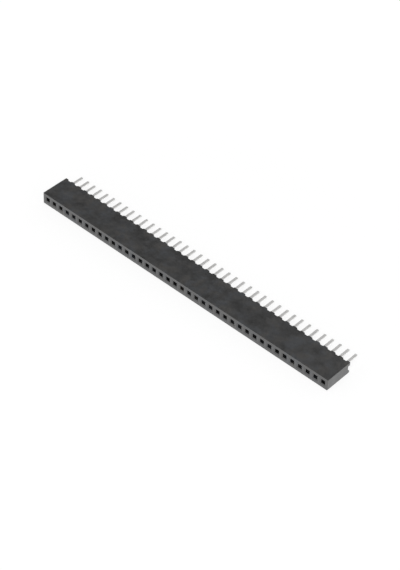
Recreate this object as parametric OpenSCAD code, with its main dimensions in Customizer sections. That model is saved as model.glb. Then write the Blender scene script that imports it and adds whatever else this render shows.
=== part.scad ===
// Female pin header strip: one row of stamped socket contacts in a moulded
// housing. The strip lies on its broad side: X runs along the row, the mating
// face looks towards -Y, the solder tails point towards +Y, and Z is up.
// The origin is in the middle of the strip's outer box, on the surface below it.

/* [Row] */
// Number of contacts
contacts = 40; // [2:1:59]
// Distance from one contact to the next
pitch = 1.27; // [1.22:0.01:2.54]
// Distance from the middle of an end contact to the end of the housing
end_margin = 0.8; // [0.65:0.01:1.5]

/* [Housing] */
// Thickness of the housing, from broad face to broad face
body_t = 1.78; // [1.65:0.01:2.4]
// Height of the housing, from the mating face to the tips of the standoff ribs
body_h = 4.44; // [4.2:0.01:8.5]
// Radius of the four upright corners
corner_r = 0.05; // [0.03:0.01:0.2]

/* [Tail channel] */
// Depth of the channel, from the rib tips to its floor
channel_depth = 0.38; // [0.35:0.01:0.6]
// Thickness of its upper wall
upper_wall_t = 0.48; // [0.4:0.01:0.5]
// Thickness of its lower wall where it starts, at the channel floor
lower_wall_root_t = 0.75; // [0.5:0.01:0.8]
// Thickness that its lower wall slopes down to, at the rib tips
lower_wall_tip_t = 0.28; // [0.2:0.01:0.45]

/* [Standoff ribs] */
// Width of the notch between two ribs, across the rib tips
notch_w = 0.67; // [0.56:0.01:0.85]
// Depth of the notch between two ribs
notch_depth = 0.19; // [0.12:0.01:0.3]
// How much wider a rib is at its root, on each side
rib_flare = 0.1; // [0.02:0.01:0.12]
// Radius of the tips and roots of the ribs
rib_r = 0.09; // [0.02:0.01:0.1]

/* [Socket mouths] */
// Width of the lead-in, along the row
mouth_w = 0.98; // [0.7:0.01:1.12]
// Height of the lead-in, across the row
mouth_h = 0.95; // [0.7:0.01:1.4]
// Depth of the lead-in
mouth_depth = 0.1; // [0.05:0.01:0.3]
// Side of the square hole that the pin passes through
throat = 0.6; // [0.5:0.01:0.62]
// Thickness of the wall that the hole passes through
front_wall = 0.5; // [0.35:0.01:0.7]

/* [Contact cavities] */
// Width of a cavity, along the row
cavity_w = 0.95; // [0.9:0.01:1]
// Height of a cavity, across the row
cavity_h = 0.82; // [0.8:0.01:0.9]
// Height of the shoulder that a contact stops against
shoulder = 0.08; // [0.06:0.01:0.1]
// Depth of the contact seat, from the channel floor to the shoulder
seat_depth = 1.35; // [1.3:0.01:1.6]

/* [Contacts] */
// Thickness of the strip metal
stock_t = 0.15; // [0.1:0.01:0.18]
// Inner radius of the bends
bend_r = 0.06; // [0.04:0.01:0.1]
// Running clearance between a contact and its cavity
fit_gap = 0.02; // [0.01:0.01:0.04]
// Length of the folded base, along the contact
base_len = 0.9; // [0.7:0.01:0.95]
// Gap between the two spring leaves where they grip the pin
grip_gap = 0.25; // [0.15:0.01:0.38]
// Gap between the tips of the two spring leaves
tip_gap = 0.41; // [0.4:0.01:0.5]
// Distance from the front wall to the tips of the leaves
tip_clear = 0.12; // [0.05:0.01:0.3]
// Distance from the tips of the leaves to where they grip
flare_len = 0.5; // [0.3:0.01:0.7]
// Height of a leaf at its root
leaf_root_h = 0.58; // [0.5:0.01:0.62]
// Height of a leaf at its tip
leaf_tip_h = 0.4; // [0.25:0.01:0.5]

/* [Retaining barbs] */
// Length of a barb
barb_len = 0.22; // [0.1:0.01:0.3]
// Height of a barb
barb_h = 0.34; // [0.1:0.01:0.45]
// Length of the flat land where a barb bears on the cavity wall
barb_land = 0.05; // [0.02:0.01:0.08]
// Distance from the rear of the base to the rear of the barb
barb_inset = 0.2; // [0.1:0.01:0.3]

/* [Solder tails] */
// Width of a tail, along the row
tail_w = 0.37; // [0.2:0.01:0.4]
// Length of a tail beyond the rib tips
tail_len = 2.39; // [1.5:0.01:5]
// Height of a tail above the middle plane of the housing
tail_lift = -0.01; // [-0.05:0.01:0.1]
// Width of the neck that joins the tail to the base
neck_w = 0.5; // [0.4:0.01:0.6]
// Length of the neck, which steps up from the base to the tail
neck_len = 0.35; // [0.32:0.01:0.38]
// Length of the taper at the tail's end
taper_len = 0.09; // [0.03:0.01:0.3]
// Width and thickness left at the very end, as a share of the tail's own
taper_share = 0.55; // [0.2:0.05:0.9]

/* [Hidden] */
// How far a cutting shape runs past the surface that it cuts
over = 0.1;
// Straight steps that one bend or rounded corner is made of
bend_steps = 3;
// Length of a leaf's straight root, on each side of the shoulder
leaf_lap = 0.15;

body_len = (contacts - 1) * pitch + 2 * end_margin;
mating_y = -(body_h + tail_len) / 2;
roof_z = body_t - upper_wall_t;
floor_y = body_h - channel_depth;
seat_y = floor_y - seat_depth;
base_w = cavity_w - 2 * fit_gap;
base_h = cavity_h - 2 * fit_gap;
flange_x = (base_w - stock_t) / 2;
web_z = -(base_h - stock_t) / 2;
base_end_y = seat_y + base_len;
leaf_tip_y = front_wall + tip_clear;
grip_y = leaf_tip_y + flare_len;
tail_tip_y = body_h + tail_len;

function contact_x(i) = (i - (contacts + 1) / 2) * pitch;
function contact_name(i) = str("contact_", i < 10 ? "0" : "", i);

// Direction of a vector, and the direction a quarter turn to its left
function unit(v) = v / norm(v);
function left(v) = [-v[1], v[0]];

// Points of the arc of radius r that rounds the corner b between a and c
function corner(a, b, c, r) =
    let (
        to_a = unit(a - b),
        to_c = unit(c - b),
        half = acos(to_a * to_c) / 2,
        centre = b + unit(to_a + to_c) * r / sin(half),
        start = b + to_a * r / tan(half) - centre,
        stop = b + to_c * r / tan(half) - centre
    )
    [for (k = [0 : bend_steps]) centre + r * unit(start + (stop - start) * k / bend_steps)];

// The path through the given points, with every inner corner rounded
function bent(points, r) = concat(
    [points[0]],
    [for (i = [1 : len(points) - 2]) each corner(points[i - 1], points[i], points[i + 1], r)],
    [points[len(points) - 1]]
);

// Half the sheet's thickness at point i of a path, square to the path
function sheet_side(path, i, thickness) =
    let (
        last = len(path) - 1,
        before = unit(path[max(i, 1)] - path[max(i, 1) - 1]),
        after = unit(path[min(i, last - 1) + 1] - path[min(i, last - 1)]),
        mitre = unit(left(before) + left(after))
    )
    mitre * thickness / 2 / (mitre * left(before));

// Outline of sheet metal that follows a path. end_share thins its far end.
function sheet(path, end_share = 1) =
    let (
        last = len(path) - 1,
        side = [for (i = [0 : last]) sheet_side(path, i, stock_t * (i == last ? end_share : 1))]
    )
    concat(
        [for (i = [0 : last]) path[i] + side[i]],
        [for (i = [last : -1 : 0]) path[i] - side[i]]
    );

// Outline that is symmetric about its first axis, from [place, half width] pairs
function symmetric(profile) = concat(
    profile,
    [for (i = [len(profile) - 1 : -1 : 0]) [profile[i][0], -profile[i][1]]]
);

// Extrudes an outline drawn in Y and Z along X, centred on X = 0
module along_x(length) {
    rotate([90, 0, 90])
        linear_extrude(length, center = true)
            children();
}

// Extrudes an outline drawn in X and Y along Z, centred on Z = 0
module along_z(length) {
    linear_extrude(length, center = true)
        children();
}

// Places a shape at contact i: Y from the mating face, Z from the middle plane
module at_contact(i) {
    translate([contact_x(i), mating_y, body_t / 2])
        children();
}

// Corner points of the notch in the back edge at contact i, from +X to -X
function notch_points(i) =
    let (tip_x = notch_w / 2, root_x = tip_x - rib_flare, root_y = body_h - notch_depth)
    [
        [contact_x(i) + tip_x, body_h],
        [contact_x(i) + root_x, root_y],
        [contact_x(i) - root_x, root_y],
        [contact_x(i) - tip_x, body_h]
    ];

// Outline of the housing seen from above, with its scalloped back edge
function housing_outline() =
    let (
        end_x = body_len / 2,
        back = [for (i = [contacts : -1 : 1]) each notch_points(i)],
        back_edge = concat([[end_x, body_h]], back, [[-end_x, body_h]])
    )
    concat(
        corner([-end_x, body_h], [-end_x, 0], [end_x, 0], corner_r),
        corner([-end_x, 0], [end_x, 0], [end_x, body_h], corner_r),
        corner([end_x, 0], [end_x, body_h], back[0], corner_r),
        [for (i = [1 : len(back)]) each corner(back_edge[i - 1], back_edge[i], back_edge[i + 1], rib_r)],
        corner(back[len(back) - 1], [-end_x, body_h], [-end_x, 0], corner_r)
    );

// Tapered recess that guides a pin into the throat
module lead_in() {
    intersection() {
        along_z(mouth_h)
            polygon([
                [-mouth_w / 2, -over],
                [mouth_w / 2, -over],
                [mouth_w / 2, 0],
                [throat / 2, mouth_depth],
                [-throat / 2, mouth_depth],
                [-mouth_w / 2, 0]
            ]);
        along_x(mouth_w)
            polygon(symmetric([[-over, mouth_h / 2], [0, mouth_h / 2], [mouth_depth, throat / 2]]));
    }
}

// Everything that is hollow at one contact: lead-in, throat, leaf chamber and seat
module socket_space() {
    lead_in();
    translate([-throat / 2, 0, -throat / 2])
        cube([throat, front_wall + over, throat]);
    along_x(cavity_w)
        polygon(symmetric([
            [front_wall, cavity_h / 2 - shoulder],
            [seat_y, cavity_h / 2 - shoulder],
            [seat_y, cavity_h / 2],
            [body_h + over, cavity_h / 2]
        ]));
}

// Channel along the whole back, where the tails come out: its upper wall is
// straight, and its lower wall slopes down towards the rib tips
module tail_channel() {
    translate([0, mating_y, 0])
        along_x(body_len + 2 * over)
            polygon([
                [floor_y, roof_z],
                [floor_y, lower_wall_root_t],
                [body_h, lower_wall_tip_t],
                [body_h + over, lower_wall_tip_t],
                [body_h + over, roof_z]
            ]);
}

module housing() {
    color("#2d2d2f")
        difference() {
            translate([0, mating_y, 0])
                linear_extrude(body_t)
                    polygon(housing_outline());
            tail_channel();
            for (i = [1 : contacts])
                at_contact(i)
                    socket_space();
        }
}

// Folded base: a web with two flanges, which fills the seat
module contact_base() {
    top_z = base_h / 2;
    fold = [[-flange_x, top_z], [-flange_x, web_z], [flange_x, web_z], [flange_x, top_z]];
    translate([0, base_end_y, 0])
        rotate([90, 0, 0])
            linear_extrude(base_len)
                polygon(sheet(bent(fold, bend_r + stock_t / 2)));
}

// Barb on the flange at side +1 or -1, which bears on the cavity wall
module barb(side) {
    rear_y = base_end_y - barb_inset;
    front_y = rear_y - barb_len;
    scale([side, 1, 1])
        along_z(barb_h)
            polygon([
                [flange_x, front_y],
                [base_w / 2, front_y],
                [cavity_w / 2, rear_y - barb_land],
                [cavity_w / 2, rear_y],
                [flange_x, rear_y]
            ]);
}

// Spring leaf at side +1 or -1: it leans in to the pin and flares at its tip
module leaf(side) {
    grip_x = (grip_gap + stock_t) / 2;
    tip_x = (tip_gap + stock_t) / 2;
    path = [
        [flange_x, seat_y + leaf_lap],
        [flange_x, seat_y - leaf_lap],
        [grip_x, grip_y],
        [tip_x, leaf_tip_y]
    ];
    scale([side, 1, 1])
        intersection() {
            along_z(leaf_root_h)
                polygon(sheet(bent(path, flare_len / 2)));
            along_x(cavity_w)
                polygon(symmetric([
                    [leaf_tip_y - over, leaf_tip_h / 2],
                    [leaf_tip_y, leaf_tip_h / 2],
                    [seat_y, leaf_root_h / 2],
                    [seat_y + leaf_lap + over, leaf_root_h / 2]
                ]));
        }
}

// Neck and solder tail: the neck steps up from the web to the tail's height
module tail() {
    lap_y = base_end_y - stock_t;
    step_end_y = base_end_y + neck_len;
    path = [
        [lap_y, web_z],
        [base_end_y, web_z],
        [step_end_y, tail_lift],
        [tail_tip_y - taper_len, tail_lift]
    ];
    intersection() {
        along_x(neck_w)
            polygon(sheet(concat(bent(path, bend_r + stock_t / 2), [[tail_tip_y, tail_lift]]), taper_share));
        along_z(cavity_h)
            rotate([0, 0, 90])
                polygon(symmetric([
                    [lap_y, neck_w / 2],
                    [base_end_y, neck_w / 2],
                    [step_end_y, tail_w / 2],
                    [tail_tip_y - taper_len, tail_w / 2],
                    [tail_tip_y, tail_w * taper_share / 2]
                ]));
    }
}

module contact(i) {
    color("#c8c7c2")
        at_contact(i) {
            contact_base();
            tail();
            for (side = [-1, 1]) {
                barb(side);
                leaf(side);
            }
        }
}

housing();
for (i = [1 : contacts]) contact(i);
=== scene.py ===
"""Looks of the female pin header strip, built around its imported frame.

The strip lies on its broad side on a plain white floor. The housing and the
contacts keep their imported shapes; this script gives them their moulded plastic
and tin-plated metal, and makes the floor, the surroundings, the lamps and the
camera.
"""

import math

import bpy
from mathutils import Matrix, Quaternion, Vector


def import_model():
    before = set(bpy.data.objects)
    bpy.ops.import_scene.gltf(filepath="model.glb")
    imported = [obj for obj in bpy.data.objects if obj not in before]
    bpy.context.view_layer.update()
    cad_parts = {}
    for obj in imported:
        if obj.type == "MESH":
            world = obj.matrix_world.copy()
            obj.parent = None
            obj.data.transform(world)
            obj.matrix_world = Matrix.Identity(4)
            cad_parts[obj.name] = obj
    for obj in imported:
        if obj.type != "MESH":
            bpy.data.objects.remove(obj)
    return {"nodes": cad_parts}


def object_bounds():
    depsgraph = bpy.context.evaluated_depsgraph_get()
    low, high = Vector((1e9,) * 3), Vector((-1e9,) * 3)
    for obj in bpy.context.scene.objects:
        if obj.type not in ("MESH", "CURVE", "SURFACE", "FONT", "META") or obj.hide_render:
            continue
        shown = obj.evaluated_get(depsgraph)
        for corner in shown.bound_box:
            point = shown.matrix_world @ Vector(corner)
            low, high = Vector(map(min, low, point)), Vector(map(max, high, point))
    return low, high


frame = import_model()
cad_low, cad_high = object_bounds()

MM = 0.001

# ---------------------------------------------------------------- camera
CAMERA_AZIMUTH = math.radians(40.55)     # turned from the mating face towards +X
CAMERA_ELEVATION = math.radians(43.38)   # above the floor
CAMERA_ROLL = math.radians(2.83)
CAMERA_DISTANCE = 226.31 * MM
CAMERA_CLIP_START = 10.0 * MM
CAMERA_LENS_MM = 108.17                  # for a sensor 36 mm on its long side
SENSOR_MM = 36.0
# the point looked at, from the middle of the object's box
LOOK_AT_OFFSET = Vector((1.872, -1.147, 0.0)) * MM

# ---------------------------------------------------------------- finishes
# Of each noise, scale is how many of its features fit in a metre, detail how many finer
# octaves lie on them, and roughness how strong those are. A band is the range of values
# that is spread over an effect.
BEVEL_SAMPLES = 8
EDGE_BAND = (1.0, 0.8)            # how alike the flat and the rounded normal are: flat, edge

HOUSING_DARK = (0.002, 0.002, 0.002, 1.0)
HOUSING_COOL = (0.008, 0.011, 0.016, 1.0)
HOUSING_WARM = (0.014, 0.0115, 0.009, 1.0)
# the pale filler, and the colour of the edges: partly wear and partly a painted highlight along them
HOUSING_FILLER_WEAR_AND_HIGHLIGHT = (0.075, 0.075, 0.078, 1.0)
HOUSING_IOR = 1.94                # set by the gloss of the dark faces; a real plastic has 1.5 to 1.6
HOUSING_ROUGHNESS = (0.3, 0.43)
HOUSING_EDGE_RADIUS = 0.035 * MM
# clouds left by the flow of the plastic
FLOW = {"scale": 450.0, "detail": 5.0, "roughness": 0.65}
FLOW_COLOUR_BAND = (0.42, 0.6)
FLOW_GLOSS_BAND = (0.35, 0.65)
# drifts between the cool and the warm black
TINT = {"scale": 800.0, "detail": 2.0}
TINT_BAND = (0.4, 0.6)
# faces that aren't quite flat
SWELL = {"scale": 900.0, "detail": 1.0}
SWELL_STRENGTH = 1.0
SWELL_HEIGHT = 0.05 * MM
# pale filler at the surface, and on the edges, which are paler both from wear and from a painted highlight
SPECKLE = {"scale": 5200.0, "detail": 2.0}
SPECKLE_BAND = (0.55, 0.8)
SPECKLE_SHARE = (0.0, 0.25)
EDGE_WEAR_AND_HIGHLIGHT_BAND = (0.3, 0.7)
EDGE_WEAR_AND_HIGHLIGHT_SHARE = (0.25, 0.6)
# the mould's fine eroded grain
GRAIN = {"scale": 16000.0, "detail": 2.0, "roughness": 0.6}
GRAIN_BAND = (0.3, 0.7)
GRAIN_ROUGHNESS = (-0.03, 0.03)
GRAIN_STRENGTH = 0.35
GRAIN_HEIGHT = 0.004 * MM

TIN_DARK = (0.74, 0.735, 0.725, 1.0)
TIN_LIGHT = (0.81, 0.805, 0.795, 1.0)
TIN_ROUGHNESS = (0.52, 0.64)
TIN_EDGE_RADIUS = 0.018 * MM
TIN_EDGE_SHARE = 0.4              # how much of the light tin the sheared edges show
# where the tin is lighter or darker
CLOUDS = {"scale": 1400.0, "detail": 3.0}
CLOUD_BAND = (0.35, 0.65)
# marks of rolling, long along the tails, in Y
STREAKS = {"scale": 1.0, "detail": 3.0, "roughness": 0.6}
STREAK_STRETCH = (16000.0, 900.0, 16000.0)
STREAK_BAND = (0.3, 0.7)
STREAK_STRENGTH = 0.3
STREAK_HEIGHT = 0.003 * MM

# ---------------------------------------------------------------- stage
WHITE = (1.0, 1.0, 1.0, 1.0)
FLOOR_SIDE = 3.0
FLOOR_GAP = 0.005 * MM            # keeps the underside and the floor apart
FLOOR_ALBEDO = (0.85, 0.85, 0.85, 1.0)        # for the light that the floor sends on
FLOOR_ALBEDO_SEEN = (0.24, 0.24, 0.24, 1.0)   # the lit share of what is seen, with the shadow
# The rest of what is seen is a plain white. It grows with the distance from the object,
# because the lamps light the floor less there.
FLOOR_BAND = (26.0 * MM, 330.0 * MM)
FLOOR_WHITE = (0.802, 1.0)
FLOOR_WHITE_MIRRORED = 0.98

# The surroundings are bright up to one height of a unit direction and dim above another.
SKY_BAND = (0.3, 0.72)
SKY_LEVEL = (1.0, 0.05)

# name: place in metres, side in metres, power in watts
SOFTBOXES = {
    "key": ((0.25, -0.35, 0.45), 0.4, 1.7),
    "fill": ((-0.28, -0.41, 0.33), 0.3, 0.25),
    "overhead": ((-0.03, 0.03, 0.60), 0.4, 0.8),
    "back": ((-0.06, 0.39, 0.44), 0.3, 0.12),
}


class Nodes:
    """A small helper that adds and links shader nodes in one tree."""

    def __init__(self, owner):
        owner.use_nodes = True
        self.tree = owner.node_tree
        self.tree.nodes.clear()

    def feed(self, socket, value):
        """Links a socket to another node's output, or sets it to a value."""
        if isinstance(value, bpy.types.NodeSocket):
            self.tree.links.new(value, socket)
        else:
            socket.default_value = value

    def add(self, kind, inputs=None, **settings):
        """Adds a node. inputs maps a socket's name or index to what it is fed."""
        node = self.tree.nodes.new(kind)
        for name, value in settings.items():
            setattr(node, name, value)
        for name, value in (inputs or {}).items():
            self.feed(node.inputs[name], value)
        return node

    def noise(self, vector, scale, detail, roughness=0.5):
        inputs = {"Vector": vector, "Scale": scale, "Detail": detail, "Roughness": roughness}
        return self.add("ShaderNodeTexNoise", inputs).outputs["Fac"]

    def stretched(self, vector, scales):
        return self.add("ShaderNodeMapping", {"Vector": vector, "Scale": scales}).outputs["Vector"]

    def remap(self, value, band, to=(0.0, 1.0)):
        """Spreads a band of values over another range, and holds what lies outside at its ends."""
        inputs = {"Value": value, "From Min": band[0], "From Max": band[1], "To Min": to[0], "To Max": to[1]}
        return self.add("ShaderNodeMapRange", inputs).outputs["Result"]

    def mix_colour(self, factor, a, b):
        node = self.add("ShaderNodeMix", {"Factor": factor}, data_type="RGBA")
        for identifier, value in (("A_Color", a), ("B_Color", b)):
            self.feed(next(s for s in node.inputs if s.identifier == identifier), value)
        return next(s for s in node.outputs if s.identifier == "Result_Color")

    def mix_shader(self, factor, a, b):
        inputs = {0: factor, 1: a.outputs[0], 2: b.outputs[0]}
        return self.add("ShaderNodeMixShader", inputs)

    def math(self, operation, a, b):
        return self.add("ShaderNodeMath", {0: a, 1: b}, operation=operation).outputs["Value"]

    def place(self):
        """Position on the piece, from its own origin, in metres."""
        return self.add("ShaderNodeTexCoord").outputs["Object"]

    def rounded_normal(self, radius):
        """The normal as if every edge were rounded to this radius, and how near an edge is."""
        rounded = self.add("ShaderNodeBevel", {"Radius": radius}, samples=BEVEL_SAMPLES).outputs["Normal"]
        flat = self.add("ShaderNodeNewGeometry").outputs["True Normal"]
        alike = self.add("ShaderNodeVectorMath", {0: rounded, 1: flat}, operation="DOT_PRODUCT")
        return rounded, self.remap(alike.outputs["Value"], EDGE_BAND)

    def bump(self, height, strength, distance, normal):
        inputs = {"Height": height, "Strength": strength, "Distance": distance, "Normal": normal}
        return self.add("ShaderNodeBump", inputs).outputs["Normal"]

    def surface(self, shader):
        self.add("ShaderNodeOutputMaterial", {"Surface": shader.outputs[0]})


def housing_plastic():
    """Black moulding plastic: faint cool and warm clouds, a fine eroded grain, and paler edges that are
    partly worn and partly a painted highlight.
    """
    material = bpy.data.materials.new("housing_plastic")
    n = Nodes(material)
    place = n.place()
    flow = n.noise(place, **FLOW)
    tint = n.noise(place, **TINT)
    swell = n.noise(place, **SWELL)
    speckle = n.noise(place, **SPECKLE)
    grain = n.noise(place, **GRAIN)
    rounded, edge = n.rounded_normal(HOUSING_EDGE_RADIUS)

    light = n.mix_colour(n.remap(tint, TINT_BAND), HOUSING_COOL, HOUSING_WARM)
    body = n.mix_colour(n.remap(flow, FLOW_COLOUR_BAND), HOUSING_DARK, light)
    flecked = n.mix_colour(n.remap(speckle, SPECKLE_BAND, SPECKLE_SHARE), body, HOUSING_FILLER_WEAR_AND_HIGHLIGHT)
    # edges made paler, partly as wear and partly as a painted highlight along them
    worn_and_highlit = n.math("MULTIPLY", edge, n.remap(speckle, EDGE_WEAR_AND_HIGHLIGHT_BAND, EDGE_WEAR_AND_HIGHLIGHT_SHARE))

    cloudy = n.remap(flow, FLOW_GLOSS_BAND, HOUSING_ROUGHNESS)
    roughness = n.math("ADD", cloudy, n.remap(grain, GRAIN_BAND, GRAIN_ROUGHNESS))
    wavy = n.bump(swell, SWELL_STRENGTH, SWELL_HEIGHT, rounded)
    n.surface(n.add("ShaderNodeBsdfPrincipled", {
        "Base Color": n.mix_colour(worn_and_highlit, flecked, HOUSING_FILLER_WEAR_AND_HIGHLIGHT),
        "Roughness": roughness,
        "IOR": HOUSING_IOR,
        "Normal": n.bump(grain, GRAIN_STRENGTH, GRAIN_HEIGHT, wavy),
    }))
    return material


def contact_metal():
    """Matt tin over rolled strip: streaks along the contact, and slightly brighter sheared edges."""
    material = bpy.data.materials.new("contact_metal")
    n = Nodes(material)
    place = n.place()
    streaks = n.noise(n.stretched(place, STREAK_STRETCH), **STREAKS)
    clouds = n.noise(place, **CLOUDS)
    rounded, edge = n.rounded_normal(TIN_EDGE_RADIUS)

    tin = n.mix_colour(n.remap(clouds, CLOUD_BAND), TIN_DARK, TIN_LIGHT)
    n.surface(n.add("ShaderNodeBsdfPrincipled", {
        "Base Color": n.mix_colour(n.math("MULTIPLY", edge, TIN_EDGE_SHARE), tin, TIN_LIGHT),
        "Metallic": 1.0,
        "Roughness": n.remap(streaks, STREAK_BAND, TIN_ROUGHNESS),
        "Normal": n.bump(streaks, STREAK_STRENGTH, STREAK_HEIGHT, rounded),
    }))
    return material


def dress_nodes():
    """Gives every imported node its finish."""
    plastic = housing_plastic()
    metal = contact_metal()
    for name, node in frame["nodes"].items():
        finish = plastic if name == "housing" else metal
        for slot in node.material_slots:
            slot.material = finish


def floor_white():
    """White with a faint shadow, and clear from below, so that the underside can be seen."""
    material = bpy.data.materials.new("floor")
    n = Nodes(material)
    rays = n.add("ShaderNodeLightPath").outputs
    # 1 for rays from the camera, reflections and refractions, and 0 for those that carry light
    mirrored = n.math("ADD", rays["Is Glossy Ray"], rays["Is Transmission Ray"])
    seen = n.math("ADD", rays["Is Camera Ray"], mirrored)

    distance = n.add("ShaderNodeVectorMath", {0: n.place()}, operation="LENGTH").outputs["Value"]
    plain = n.remap(distance, FLOOR_BAND, FLOOR_WHITE)
    level = n.remap(rays["Is Camera Ray"], (0.0, 1.0), (FLOOR_WHITE_MIRRORED, plain))
    white = n.add("ShaderNodeEmission", {"Color": WHITE, "Strength": n.math("MULTIPLY", seen, level)})
    lit = n.add("ShaderNodeBsdfDiffuse", {"Color": n.mix_colour(seen, FLOOR_ALBEDO, FLOOR_ALBEDO_SEEN)})

    above = n.add("ShaderNodeAddShader", {0: lit.outputs[0], 1: white.outputs[0]})
    below = n.add("ShaderNodeBsdfTransparent", {"Color": WHITE})
    n.surface(n.mix_shader(n.add("ShaderNodeNewGeometry").outputs["Backfacing"], above, below))
    return material


def floor():
    """The plane that the object lies on."""
    half = FLOOR_SIDE / 2
    mesh = bpy.data.meshes.new("floor")
    corners = [(-half, -half, 0), (half, -half, 0), (half, half, 0), (-half, half, 0)]
    mesh.from_pydata(corners, [], [(0, 1, 2, 3)])
    mesh.materials.append(floor_white())
    plane = bpy.data.objects.new("floor", mesh)
    bpy.context.scene.collection.objects.link(plane)
    plane.location.z = cad_low.z - FLOOR_GAP


def world():
    """Soft studio surroundings: bright near the floor, dim overhead, white behind the object."""
    surroundings = bpy.data.worlds.new("studio")
    bpy.context.scene.world = surroundings
    n = Nodes(surroundings)
    direction = n.add("ShaderNodeTexCoord").outputs["Generated"]
    height = n.add("ShaderNodeSeparateXYZ", {"Vector": direction}).outputs["Z"]
    level = n.remap(height, SKY_BAND, SKY_LEVEL)
    light = n.add("ShaderNodeBackground", {"Color": WHITE, "Strength": level})
    white = n.add("ShaderNodeBackground", {"Color": WHITE, "Strength": 1.0})
    mixed = n.mix_shader(n.add("ShaderNodeLightPath").outputs["Is Camera Ray"], light, white)
    n.add("ShaderNodeOutputWorld", {"Surface": mixed.outputs[0]})


def softbox(name, place, side, power):
    """A square area lamp that faces the object."""
    data = bpy.data.lights.new(name, "AREA")
    data.size = side
    data.energy = power
    lamp = bpy.data.objects.new(name, data)
    bpy.context.scene.collection.objects.link(lamp)
    lamp.location = place
    lamp.rotation_mode = "QUATERNION"
    lamp.rotation_quaternion = (-Vector(place)).to_track_quat("-Z", "Y")


def camera():
    """The camera at the photographed angle."""
    data = bpy.data.cameras.new("camera")
    data.sensor_width = SENSOR_MM
    data.lens = CAMERA_LENS_MM
    data.clip_start = CAMERA_CLIP_START
    cam = bpy.data.objects.new("camera", data)
    bpy.context.scene.collection.objects.link(cam)
    across = math.cos(CAMERA_ELEVATION)
    back = Vector((
        math.sin(CAMERA_AZIMUTH) * across,
        -math.cos(CAMERA_AZIMUTH) * across,
        math.sin(CAMERA_ELEVATION),
    ))
    cam.location = (cad_low + cad_high) / 2 + LOOK_AT_OFFSET + back * CAMERA_DISTANCE
    cam.rotation_mode = "QUATERNION"
    cam.rotation_quaternion = (-back).to_track_quat("-Z", "Y") @ Quaternion((0, 0, 1), CAMERA_ROLL)
    bpy.context.scene.camera = cam


camera()
floor()
world()
for lamp_name, (lamp_place, lamp_side, lamp_power) in SOFTBOXES.items():
    softbox(lamp_name, lamp_place, lamp_side, lamp_power)
dress_nodes()
bpy.context.scene.view_settings.view_transform = "Standard"
